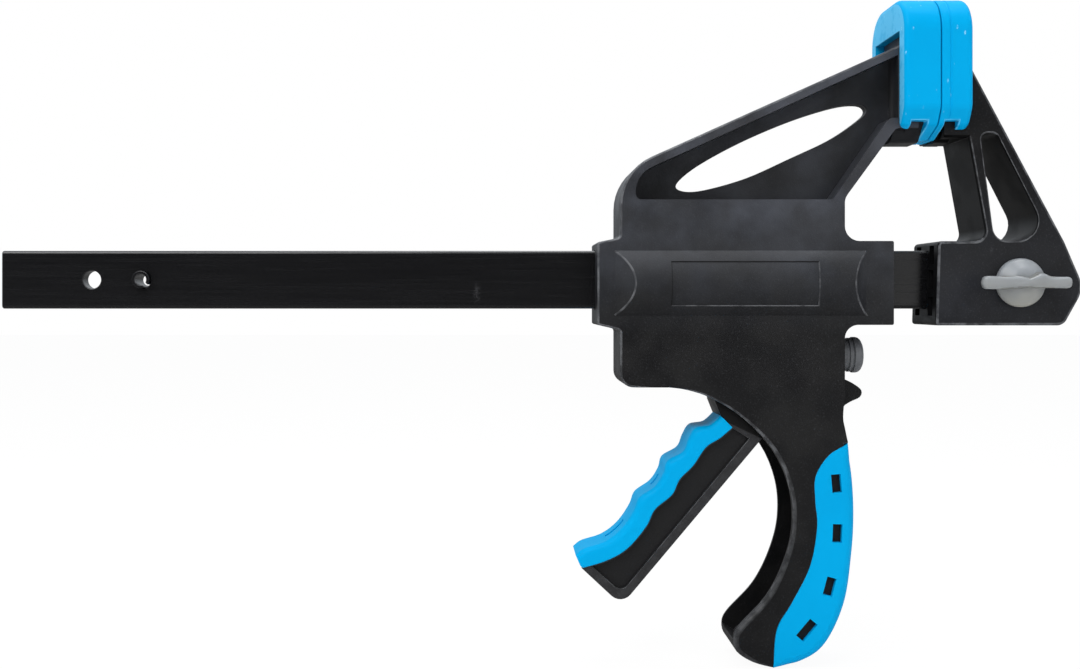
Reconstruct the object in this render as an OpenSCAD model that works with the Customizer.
// Quick release bar clamp, jaws closed, in millimetres.
// X runs along the bar towards the fixed jaw, Z is up towards the jaws, and Y is across.
// X = 0 is the plane where the pads meet, Z = 0 is the bar's axis, Y = 0 is the middle plane.

/* [Bar] */
// Height of the bar's section
bar_height = 20; // [18:0.5:22]
// Thickness of the bar's section
bar_thickness = 6; // [5:0.5:7]
// Length of bar from the pads' plane to the free end
bar_free_length = 318.6; // [300:0.1:340]
// Length of bar inside the fixed jaw, from the pads' plane
bar_jaw_length = 40; // [38:0.5:40]
// Radius of the spreader hole at the free end
spreader_hole_radius = 3.1; // [2.5:0.1:4]
// Distance of the spreader hole from the free end
spreader_hole_inset = 31.1; // [28:0.1:34]
// Distance of the stop pin from the free end
stop_pin_inset = 48.5; // [44:0.1:52]
// Radius of the stop pin
stop_pin_radius = 3; // [2.5:0.1:3.5]

/* [Body] */
// Half of the body's width
body_half_width = 13; // [12.5:0.1:14]
// Thickness of the shells' side walls
side_wall = 2.8; // [2.4:0.1:3.2]
// Half of the thickness of the arm's web
web_half_thickness = 2.5; // [2:0.1:3]
// Radius of the rounded hump over the bar
hump_radius = 17; // [16.5:0.1:18]
// Free play between the bar and the collars
bar_play = 0.3; // [0.2:0.05:0.4]
// Radius of the case screws' bosses
boss_radius = 3.2; // [3:0.1:3.4]

/* [Jaws] */
// Half of the pads' width
pad_half_width = 19; // [18:0.5:20]
// Height of the pads' top above the bar's axis
pad_top = 95; // [94:0.5:97]
// Height of the pads' lower edge above the bar's axis
pad_bottom = 47.6; // [47:0.2:49]
// Thickness of a pad's wall round the jaw head
pad_wall = 3; // [2.5:0.1:3.2]
// Half of the fixed jaw's width
fixed_half_width = 12.5; // [12:0.1:13]

/* [Trigger] */
// Half of the trigger's width
trigger_half_width = 9; // [8.5:0.1:9.2]
// Height of the trigger's nose above its pivot
nose_arm = 13; // [12:0.5:13]
// Radius of the trigger's pivot pin
pivot_pin_radius = 2; // [1.8:0.1:2.2]
// Thickness of one drive plate
drive_plate_thickness = 3; // [2.5:0.1:3.2]

/* [Brake] */
// Thickness of the brake lever's plate
brake_plate_thickness = 3; // [2.5:0.1:3.2]
// Angle of the brake lever from upright while it grips
brake_cant = 4.4; // [3.5:0.1:4.5]
// Radius of the release button's head
button_radius = 6.2; // [5.8:0.1:6.5]

/* [Wing nut] */
// Span of the two wings
wing_span = 30.2; // [26:0.2:31]
// Radius of the wing nut's round base
wing_base_radius = 8.2; // [7.5:0.1:8.5]
// Radius of the jaw bolt's shank
bolt_radius = 2.95; // [2.9:0.01:2.95]

/* [Hidden] */
$fn = 48;

plastic_black = [0.12, 0.12, 0.13];
grip_blue = [0.02, 0.62, 0.9];
steel = [0.6, 0.6, 0.62];

// A solid's small overlap past a face that it cuts
cut = 1;
// A distance past every outer face
beyond = 25;
// Half of the gap between the closed pads
pad_gap = 0.15;

// Places along the bar
block_left = -106.2;
block_right = -30.5;
collar_left = -113.9;
collar_right = -14;
collar_top = 12.9;
collar_bottom = -15.4;
block_bottom = -36.5;
web_bottom = 26.9;
cavity_left = block_left + 3;
cavity_right = block_right - 3;
cavity_depth = body_half_width - side_wall;
spring_bay_radius = 12.6;
hump_drop = 1.3;

// Jaw heads: the upright plates that carry the pads
head_bottom = pad_bottom - 0.8;
head_back = 9.1;
head_front = 3.7;
fixed_head_front = 2.1;
fixed_head_back = 6.7;
fixed_leg_top = 82.2;
arm_top = 81.7;
arm_bottom = 51;
pad_back = 12.2;
fixed_pad_back = 10.8;
pad_lip = 5.5;
pad_slot_play = 0.3;

// Trigger and drive
pivot = [-60, -27];
nose_radius = 3;
hub_radius = 7.5;
pivot_boss_radius = 5;
core_half_width = 6.6;
core_proud = 3;
panel_depth = 1.5;
pin_half_length = 11.9;
plate_gap = 0.1;
drive_plate_x = pivot[0] - nose_radius - plate_gap;
partition_x = -54.5;
partition_thickness = 2;
spring_inner_radius = 10.65;

// Brake lever
brake_top = 16.3;
brake_bottom = -31;
brake_pivot = [-42, 15.5];
button_z = -26;
button_stem_radius = 5.5;
button_play = 0.2;

// Case screws, as [x, z]
screws = [[-97.5, 19.5], [-37, 20.6], [-97.5, -29], [-37.5, -47], [-60.5, -125.5]];
screw_radius = 1.5;
screw_head_radius = 3;
screw_depth = 9.5;
screw_head_seat = body_half_width - 2.6;
screw_head_top = body_half_width - 0.6;

// Wing nut and bolt; the bolt sits in the middle of the fixed jaw's base
bolt = [28.2, -1.2];
bolt_play = 0.15;
bolt_head_radius = 5.75;
bolt_head_height = 4;
wing_base_height = 4.6;
wing_height = 8.6;
wing_width = 4.2;

// Grip skin on the handle
skin = 1.6;
skin_proud = 0.2;

// ---------- Functions ----------

// Unit vector along v
function unit(v) = v / norm(v);

// Angle from a to b the short way round
function turn(a, b) = (b - a + 540) % 360 - 180;

// Points of a fillet of radius r at corner c, between its neighbours p and n
function fillet(p, c, n, r, steps) =
    let (
        u = unit(p - c), v = unit(n - c),
        half = acos(u * v) / 2,
        reach = r / tan(half),
        centre = c + unit(u + v) * (r / sin(half)),
        first = c + u * reach - centre,
        last = c + v * reach - centre,
        a = atan2(first[1], first[0]),
        sweep = turn(a, atan2(last[1], last[0]))
    )
    [for (i = [0:steps]) centre + r * [cos(a + sweep * i / steps), sin(a + sweep * i / steps)]];

// A closed outline from corners given as [x, z, radius]
function rounded(corners, steps = 6) =
    let (n = len(corners))
    [for (i = [0:n - 1])
        let (
            c = [corners[i][0], corners[i][1]],
            p = [corners[(i + n - 1) % n][0], corners[(i + n - 1) % n][1]],
            q = [corners[(i + 1) % n][0], corners[(i + 1) % n][1]]
        )
        each (corners[i][2] == 0 ? [c] : fillet(p, c, q, corners[i][2], steps))];

// One point of a smooth curve between b and c, with a and d beyond them
function spline_point(a, b, c, d, t) =
    0.5 * (2 * b + (c - a) * t + (2 * a - 5 * b + 4 * c - d) * t * t
        + (3 * b - a - 3 * c + d) * t * t * t);

// A smooth open curve through the points
function smooth(points, steps = 3) =
    let (n = len(points))
    [for (i = [0:n - 2], k = [0:steps - 1])
        spline_point(points[max(i - 1, 0)], points[i], points[i + 1],
            points[min(i + 2, n - 1)], k / steps),
     points[n - 1]];

// A smooth closed curve through the points
function smooth_loop(points, steps = 4) =
    let (n = len(points))
    [for (i = [0:n - 1], k = [0:steps - 1])
        spline_point(points[(i + n - 1) % n], points[i], points[(i + 1) % n],
            points[(i + 2) % n], k / steps)];

// The curve moved sideways by the distance, to its left where that is positive
function beside(path, distance) =
    let (n = len(path))
    [for (i = [0:n - 1])
        let (t = unit(path[min(i + 1, n - 1)] - path[max(i - 1, 0)]))
        path[i] + distance * [-t[1], t[0]]];

function first_points(path, count) = [for (i = [0:count - 1]) path[i]];

function reversed(path) = [for (i = [len(path) - 1:-1:0]) path[i]];

// ---------- Outlines in the X-Z plane ----------

// Back edge of the handle, from the waist down to where the grip starts
waist_edge = smooth([[-30.6, -40], [-31.1, -46.4], [-30.5, -50.1], [-29.4, -55.3]]);

// Back edge of the handle under the palm, down to the heel
palm_edge = smooth([
    [-29.4, -55.3], [-27.6, -66.2], [-26.9, -79], [-27.6, -92.5], [-30.2, -109.6],
    [-36.7, -123.4], [-45.1, -129.3], [-54.6, -131]
], 4);

// Rounded toe of the handle and its inner arc, up to the block's lower edge
toe_and_arc = smooth([
    [-54.6, -131], [-61.5, -129.3], [-66.6, -126], [-67.9, -121.7], [-65.9, -117.2],
    [-56.8, -107.3], [-51, -96], [-48, -84.1], [-48.8, -71.1], [-54.2, -58.2],
    [-64.5, -47.1], [-74.8, -40.4], [-83.5, -37.4], [-90, -36.5]
], 4);

// Front border of the blue skin on the handle, from top to heel
skin_border = smooth([
    [-29.4, -55.3], [-36.1, -59.5], [-40.4, -66.5], [-40.5, -75], [-39.9, -83.6],
    [-42.3, -96.8], [-48.5, -109.2], [-53.6, -118], [-54.6, -131]
], 4);

// Windows in the blue skin, as [x, z, tilt, width, height]
skin_windows = [
    [-33.4, -68.8, 5, 3.2, 6.2], [-33.1, -85.6, -2, 3.2, 6.2],
    [-35.7, -103.5, -15, 3.2, 6.2], [-43.4, -118.2, -40, 3.3, 7.4]
];

// Border between the trigger's blue skin and its black lever
trigger_border = smooth([
    [-67.7, -50.4], [-71.8, -53.9], [-76.6, -57], [-81, -63.3], [-85.6, -68],
    [-88.2, -73.2], [-94, -78.2], [-97, -84], [-103.4, -91.5], [-110.5, -95.6], [-119, -98.2]
], 4);

// Wavy front of the trigger's blue skin, for the fingers
trigger_front = smooth([
    [-71.5, -46.5], [-75, -49.6], [-80, -50.6], [-82.4, -54.2], [-84.3, -58.6], [-89.6, -61.8],
    [-91, -66], [-94, -70.6], [-99.2, -74.3], [-101.2, -79], [-105.4, -85.1],
    [-111, -89.4], [-118, -91.7], [-120.9, -94], [-119, -98.2]
], 4);

// The whole body seen from the side: arm, housing with its two collars, and handle
module body_outline() {
    polygon(concat(
        rounded([
            [-92, block_bottom, 0], [block_left, block_bottom, 4.5],
            [block_left, collar_bottom - 1.8, 1.2], [collar_left, collar_bottom, 0.8],
            [collar_left, 12.5, 0.8], [block_left, 14.1, 1.5], [block_left, 36.6, 18],
            [-head_front - 2, arm_top, 0], [-head_front - 2, arm_bottom, 0],
            [-13.2, arm_bottom, 2.5], [block_right, 27.3, 5], [block_right, collar_top, 5],
            [collar_right, collar_top, 0.6], [collar_right, collar_bottom, 0.6],
            [block_right, collar_bottom, 4.5], [block_right, -38, 0]
        ], 8),
        waist_edge, palm_edge, toe_and_arc
    ));
}

module arm_pocket_outline() {
    polygon(rounded([
        [-101, web_bottom, 2], [-101, 35.4, 9.5], [-12.6, 75.6, 0],
        [-12.6, 54.4, 0], [-15.6, 54.4, 3], [-34.5, web_bottom, 1]
    ], 8));
}

module arm_window_outline() {
    polygon(smooth_loop([
        [-85.7, 33.1], [-78.2, 39.4], [-63.5, 47.5], [-46.3, 54.9], [-31, 59.7], [-22.6, 60.5],
        [-20.1, 58.4], [-22.8, 55.1], [-32.6, 48.5], [-47.2, 41.6], [-61.9, 35], [-76.4, 30.9],
        [-83.8, 30.6]
    ], 5));
}

// The hook behind the trigger hand's thumb
module hook_outline() {
    polygon(concat([[-34, -32.6]], smooth([
        [-30.7, -33.4], [-27.9, -34.4], [-24.9, -36], [-22.6, -38], [-23.1, -40.3],
        [-26.3, -41.9], [-28.9, -43.8], [-30.7, -48]
    ]), [[-34, -48]]));
}

// The hollow between the shells, open to the trigger along the handle's inner arc
module cavity_outline() {
    polygon(concat(
        rounded([
            [-80, -33.5, 0], [cavity_left, -33.5, 3], [cavity_left, 24, 2],
            [cavity_right, 24, 2], [cavity_right, -30, 0]
        ]),
        beside(waist_edge, -(skin + 1.4)),
        beside(palm_edge, -(skin + 3)),
        [[-60, -127], [-64.8, -123.4], [-75, -118], [-92, -60], [-80, -42]]
    ));
}

module skin_outline() {
    polygon(concat(palm_edge, reversed(skin_border)));
}

// The band along the palm edge where the skin wraps round the back
module skin_band_outline() {
    polygon(concat(palm_edge, reversed(beside(palm_edge, -skin))));
}

module fixed_jaw_outline() {
    polygon(rounded([
        [0.3, -15.6, 1], [1.1, collar_top, 1.5], [17.7, collar_top, 3.5],
        [11.4, head_bottom + 1, 0], [fixed_head_front + 1, head_bottom + 1, 0],
        [fixed_head_front + 1, fixed_leg_top, 0], [fixed_head_back, fixed_leg_top, 0],
        [43.9, 12.6, 12], [50.6, -3, 9], [43.6, -15.6, 3.5]
    ], 8));
}

module fixed_window_outline() {
    polygon(rounded([
        [15.4, 49.4, 2.2], [20.6, 49.4, 2.4], [39.1, collar_top, 7], [20.2, collar_top, 5]
    ], 8));
}

module lever_outline() {
    polygon(concat(
        [[-66.8, -24], [-73.5, -41.5], [-71.5, -46.5]],
        trigger_border,
        rounded([
            [-119, -98.2, 0], [-105.3, -110.9, 4.5], [-58.1, -54.8, 0], [-50.5, -45.6, 4],
            [-52.6, -25, 0]
        ])
    ));
}

// The sunk panel on each side of the trigger
module lever_panel_outline() {
    polygon(concat(
        first_points(beside(trigger_border, 0.5), 38),
        rounded([[-115.3, -97.6, 0], [-105.4, -106.6, 3], [-61.9, -54.2, 0]])
    ));
}

// The black core inside the trigger's blue skin
module lever_core_outline() {
    polygon(concat(
        first_points(trigger_border, 36), reversed(first_points(beside(trigger_border, -core_proud), 36))
    ));
}

module trigger_skin_outline() {
    polygon(concat(trigger_front, reversed(trigger_border)));
}

// ---------- Outlines in the Y-Z plane, seen along X ----------

// A jaw pad: upright sides, a round top, and a bevel in two steps down to a narrow flat
module pad_outline() {
    w = pad_half_width;
    low = pad_bottom;
    polygon(rounded([
        [-6, low, 3], [6, low, 3], [w - 3.4, low + 4, 3], [w, low + 9.6, 5], [w, pad_top, 12],
        [-w, pad_top, 12], [-w, low + 9.6, 5], [3.4 - w, low + 4, 3]
    ], 8));
}

// The upright plate inside a pad
module head_outline() {
    w = pad_half_width - pad_wall;
    high = pad_top - pad_wall;
    polygon(rounded([
        [-6, head_bottom, 3], [6, head_bottom, 3], [w, head_bottom + 9.8, 5], [w, high, 9],
        [-w, high, 9], [-w, head_bottom + 9.8, 5]
    ], 8));
}

module bar_section(play = 0, corner = 1.2) {
    w = bar_thickness / 2 + play;
    h = bar_height / 2 + play;
    polygon(rounded([[-w, -h, corner], [w, -h, corner], [w, h, corner], [-w, h, corner]], 4));
}

// ---------- Building blocks ----------

// An X-Z outline made solid between two Y planes
module slab(y0, y1) {
    translate([0, y1, 0]) rotate([90, 0, 0]) linear_extrude(y1 - y0) children();
}

// A Y-Z outline made solid between two X planes
module rail(x0, x1) {
    translate([x0, 0, 0]) rotate([90, 0, 90]) linear_extrude(x1 - x0) children();
}

// A rod along Y at a place [x, z]
module rod_y(place, y0, y1, r) {
    translate([place[0], y1, place[1]]) rotate([90, 0, 0]) cylinder(r = r, h = y1 - y0);
}

// A rod along X at a height
module rod_x(x0, x1, r, z = 0) {
    translate([x0, 0, z]) rotate([0, 90, 0]) cylinder(r = r, h = x1 - x0);
}

// A block between two corners
module block(low, high) {
    translate(low) cube(high - low);
}

// A coil of round wire along X
module coil(x0, x1, coil_radius, wire_radius, turns) {
    sides = 8;
    rings = turns * 20;
    function ring_centre(i) =
        [x0 + wire_radius + (x1 - x0 - 2 * wire_radius) * i / rings, 360 * turns * i / rings];
    points = [for (i = [0:rings], k = [0:sides - 1])
        let (
            c = ring_centre(i),
            r = coil_radius + wire_radius * cos(360 * k / sides)
        )
        [c[0] + wire_radius * sin(360 * k / sides), r * cos(c[1]), r * sin(c[1])]];
    walls = [for (i = [0:rings - 1], k = [0:sides - 1])
        let (a = i * sides + k, b = i * sides + (k + 1) % sides)
        [a, a + sides, b + sides, b]];
    ends = [
        [for (k = [0:sides - 1]) k],
        [for (k = [sides - 1:-1:0]) rings * sides + k]
    ];
    polyhedron(points = points, faces = concat(walls, ends));
}

// ---------- Body ----------

// The hump over the bar, with its sloping ends, on the +Y side
module hump() {
    intersection() {
        rod_x(-109, -22, hump_radius, -hump_drop);
        translate([0, 0, -hump_radius - hump_drop - cut])
            linear_extrude(2 * (hump_radius + cut))
                polygon([
                    [-101, hump_radius + cut], [-101, hump_radius + 0.2],
                    [-108.6, body_half_width - 0.2], [-108.6, body_half_width - 1],
                    [-22.8, body_half_width - 1], [-22.8, body_half_width - 0.2],
                    [-28, hump_radius + 0.2], [-28, hump_radius + cut]
                ]);
    }
}

// The upright plate at the end of the arm, on the +Y side
module moving_head() {
    intersection() {
        rail(-head_back, -head_front) head_outline();
        block([-head_back - cut, 0, 0], [0, pad_half_width, pad_top]);
    }
    intersection() {
        rail(-13.2, -head_back + cut) head_outline();
        block([-pad_back - 2, 0, 0], [0, 9, arm_bottom + 2]);
    }
}

module skin_windows_outline() {
    for (w = skin_windows)
        translate([w[0], w[1]]) rotate(w[2]) square([w[3], w[4]], center = true);
}

// What is inside a shell: bosses, the partition and the brake lever's seat
module shell_fittings() {
    for (s = screws) rod_y(s, 0, cavity_depth + cut, boss_radius);
    rod_y(pivot, trigger_half_width, cavity_depth + cut, pivot_boss_radius);
    block([partition_x, 0, -13], [partition_x + partition_thickness, spring_bay_radius, 25]);
    block([-46.4, 0, 14.6], [-44.6, cavity_depth + cut, 25]);
    block([-40.2, 0, 14], [-38.6, cavity_depth + cut, 25]);
    for (z = [-72, -96])
        block([-37 - (z + 96) / 24, 0, z], [-30.5, cavity_depth + cut, z + 2]);
}

// One body shell, made on the +Y side
module shell_half(screw_hole_radius, with_heads) {
    difference() {
        union() {
            difference() {
                union() {
                    slab(0, body_half_width) body_outline();
                    slab(0, 5) hook_outline();
                    hump();
                    moving_head();
                }
                slab(web_half_thickness, body_half_width + cut) arm_pocket_outline();
                slab(-cut, cavity_depth) cavity_outline();
                rod_x(cavity_left, -38, spring_bay_radius);
                slab(body_half_width - skin, body_half_width + cut) skin_outline();
                slab(-cut, body_half_width + cut) skin_band_outline();
            }
            shell_fittings();
        }
        slab(-cut, body_half_width + cut) arm_window_outline();
        rail(collar_left - cut, collar_right + cut) bar_section(bar_play);
        rod_y(pivot, -cut, pin_half_length + 0.1, pivot_pin_radius);
        rod_x(cavity_right - cut, block_right + cut, button_stem_radius + button_play, button_z);
        for (s = screws) {
            rod_y(s, -cut, with_heads ? beyond : screw_depth, screw_hole_radius);
            if (with_heads) rod_y(s, screw_head_seat, beyond, screw_head_radius + 0.3);
        }
    }
}

module body_shell_front() {
    color(plastic_black) mirror([0, 1, 0]) shell_half(screw_radius, false);
}

module body_shell_back() {
    color(plastic_black) shell_half(screw_radius + 0.2, true);
}

module case_screws() {
    color(steel) for (s = screws) difference() {
        union() {
            rod_y(s, 1 - screw_depth, screw_head_seat, screw_radius - 0.05);
            rod_y(s, screw_head_seat, screw_head_top, screw_head_radius);
        }
        for (angle = [0, 90])
            translate([s[0], screw_head_top, s[1]]) rotate([0, angle, 0])
                cube([0.8, 2.4, 3.4], center = true);
    }
}

// Blue skin on one half of the handle, made on the +Y side
module handle_skin() {
    difference() {
        union() {
            slab(body_half_width - skin, body_half_width + skin_proud) skin_outline();
            slab(0, body_half_width + skin_proud) skin_band_outline();
        }
        slab(body_half_width - skin - cut, body_half_width + cut) skin_windows_outline();
    }
}

module handle_grip_front() {
    color(grip_blue) mirror([0, 1, 0]) handle_skin();
}

module handle_grip_back() {
    color(grip_blue) handle_skin();
}

// ---------- Pads ----------

// A pad over a jaw head: solid between x0 and x1, hollow for the head from h0 to h1
module pad(x0, x1, h0, h1, slot_half_width, slot_x0, slot_x1, slot_top) {
    low = head_bottom - cut;
    difference() {
        rail(x0, x1) pad_outline();
        rail(h0, h1) head_outline();
        block([h0, -pad_half_width - cut, low], [h1, pad_half_width + cut, pad_bottom + pad_lip]);
        block([slot_x0, -slot_half_width, low], [slot_x1, slot_half_width, slot_top]);
    }
}

module moving_jaw_pad() {
    color(grip_blue)
        pad(-pad_back, -pad_gap, -head_back, -head_front,
            body_half_width + pad_slot_play, -pad_back - cut, -head_back, arm_top + 2);
}

module fixed_jaw_pad() {
    color(grip_blue)
        pad(pad_gap, fixed_pad_back, fixed_head_front, fixed_head_back,
            fixed_half_width + pad_slot_play, fixed_head_back, fixed_pad_back + cut,
            fixed_leg_top + 0.8);
}

// ---------- Bar and fixed jaw ----------

module bar() {
    color(plastic_black) difference() {
        rail(-bar_free_length, bar_jaw_length) bar_section();
        rod_y([spreader_hole_inset - bar_free_length, 0], -9, 9, spreader_hole_radius);
        rod_y([stop_pin_inset - bar_free_length, 0], -9, 9, stop_pin_radius);
        rod_y(bolt, -9, 9, bolt_radius + bolt_play);
    }
}

// A rolled spring pin, with its slot towards the lower right
module stop_pin() {
    half_length = bar_thickness / 2 + 2.5;
    slot_half = 0.7;
    x = stop_pin_inset - bar_free_length;
    color(steel) difference() {
        rod_y([x, 0], -half_length, half_length, stop_pin_radius - 0.01);
        rod_y([x, 0], -9, 9, stop_pin_radius - 1);
        translate([x, 0, 0]) rotate([0, 50, 0]) block([0, -9, -slot_half], [4, 9, slot_half]);
    }
}

module fixed_jaw() {
    w = fixed_half_width;
    color(plastic_black) difference() {
        union() {
            slab(-w, w) fixed_jaw_outline();
            rail(fixed_head_front, fixed_head_back) head_outline();
        }
        slab(-w - cut, w + cut) fixed_window_outline();
        rail(-cut, bar_jaw_length + 0.1) bar_section(0.1);
        rod_y(bolt, -w - cut, w + cut, bolt_radius + bolt_play);
        slab(w - bolt_head_height - 0.4, w + cut)
            translate(bolt) circle(r = bolt_head_radius + bolt_play, $fn = 6);
        for (side = [-1, 1])
            translate([0, side * 6.4, 0])
                for (z = [-12.4, -3.2, 5.2])
                    block([-cut, -2.3, z], [9, 2.3, z + 6.4]);
    }
}

module jaw_bolt() {
    w = fixed_half_width;
    color(steel) {
        rod_y(bolt, -w - 6, w - bolt_head_height, bolt_radius);
        slab(w - bolt_head_height - 0.3, w - 0.3)
            translate(bolt) circle(r = bolt_head_radius, $fn = 6);
    }
}

module wing_nut() {
    face = -fixed_half_width - 0.1;
    color([0.8, 0.82, 0.8, 0.9]) difference() {
        union() {
            rod_y(bolt, face - wing_base_height, face, wing_base_radius);
            slab(face - wing_height, face - 1.4) translate(bolt)
                polygon(rounded([
                    [-wing_span / 2, -wing_width / 2, 1.8], [wing_span / 2, -wing_width / 2, 1.8],
                    [wing_span / 2, wing_width / 2, 1.8], [-wing_span / 2, wing_width / 2, 1.8]
                ]));
            slab(face - wing_height - 0.8, face - wing_base_height)
                translate(bolt) rotate(20)
                    polygon(rounded([[-7, 0, 1], [0, -4.6, 1.5], [7, 0, 1], [0, 4.6, 1.5]]));
        }
        rod_y(bolt, face - 6.2, face + cut, bolt_radius + 0.05);
    }
}

// ---------- Trigger and drive ----------

module trigger() {
    w = trigger_half_width - 0.2;
    color(plastic_black) difference() {
        union() {
            slab(-w, w) union() {
                lever_outline();
                translate(pivot) circle(r = hub_radius);
                translate([pivot[0] - nose_radius, pivot[1]]) square([2 * nose_radius, nose_arm]);
                translate(pivot + [0, nose_arm]) circle(r = nose_radius);
            }
            slab(-core_half_width, core_half_width) lever_core_outline();
        }
        for (side = [0, 1])
            mirror([0, side, 0]) slab(w - panel_depth, w + cut) lever_panel_outline();
        rod_y(pivot, -w - cut, w + cut, pivot_pin_radius + 0.05);
    }
}

module trigger_grip() {
    w = trigger_half_width + 0.5;
    color(grip_blue) difference() {
        slab(-w, w) trigger_skin_outline();
        slab(-core_half_width, core_half_width) lever_core_outline();
    }
}

module trigger_pivot_pin() {
    color(steel) rod_y(pivot, -pin_half_length, pin_half_length, pivot_pin_radius - 0.01);
}

// A plate that hangs round the bar, with its right face at x
module drive_plate(x) {
    rail(x - drive_plate_thickness, x) difference() {
        polygon(rounded([[-9.4, -18, 2], [9.4, -18, 2], [9.4, 16, 4], [-9.4, 16, 4]]));
        bar_section(0.25, 0.6);
    }
}

module drive_plate_right() {
    color(steel) drive_plate(drive_plate_x);
}

module drive_plate_left() {
    color(steel) drive_plate(drive_plate_x - drive_plate_thickness);
}

module drive_spring() {
    x0 = cavity_left + 0.05;
    x1 = drive_plate_x - 2 * drive_plate_thickness - 0.05;
    color(steel) coil(x0, x1, spring_inner_radius + 0.75, 0.75, 7);
}

// ---------- Brake and release ----------

module brake_lever() {
    half = brake_plate_thickness / 2;
    color(steel)
        translate([brake_pivot[0], 0, brake_pivot[1]]) rotate([0, -brake_cant, 0])
            translate([0, 0, -brake_pivot[1]]) rail(-half, half) difference() {
                polygon(rounded([
                    [-9, brake_bottom, 3], [9, brake_bottom, 3], [9, brake_top, 1], [-9, brake_top, 1]
                ]));
                bar_section(0.4, 0.6);
            }
}

module brake_spring() {
    x0 = partition_x + partition_thickness + 0.05;
    color(steel) coil(x0, x0 + 8, spring_inner_radius + 0.6, 0.6, 3);
}

module release_button() {
    color([0.25, 0.26, 0.28]) {
        rod_x(-25.4, -21.6, button_radius, button_z);
        rod_x(-33.7, -25.3, button_stem_radius, button_z);
        rod_x(-35, -33.6, button_stem_radius + 1.7, button_z);
        rod_x(-37, -34.9, 2.5, button_z);
    }
}

body_shell_front();
body_shell_back();
case_screws();
handle_grip_front();
handle_grip_back();
moving_jaw_pad();
bar();
stop_pin();
fixed_jaw();
fixed_jaw_pad();
jaw_bolt();
wing_nut();
trigger();
trigger_grip();
trigger_pivot_pin();
drive_plate_left();
drive_plate_right();
drive_spring();
brake_lever();
brake_spring();
release_button();
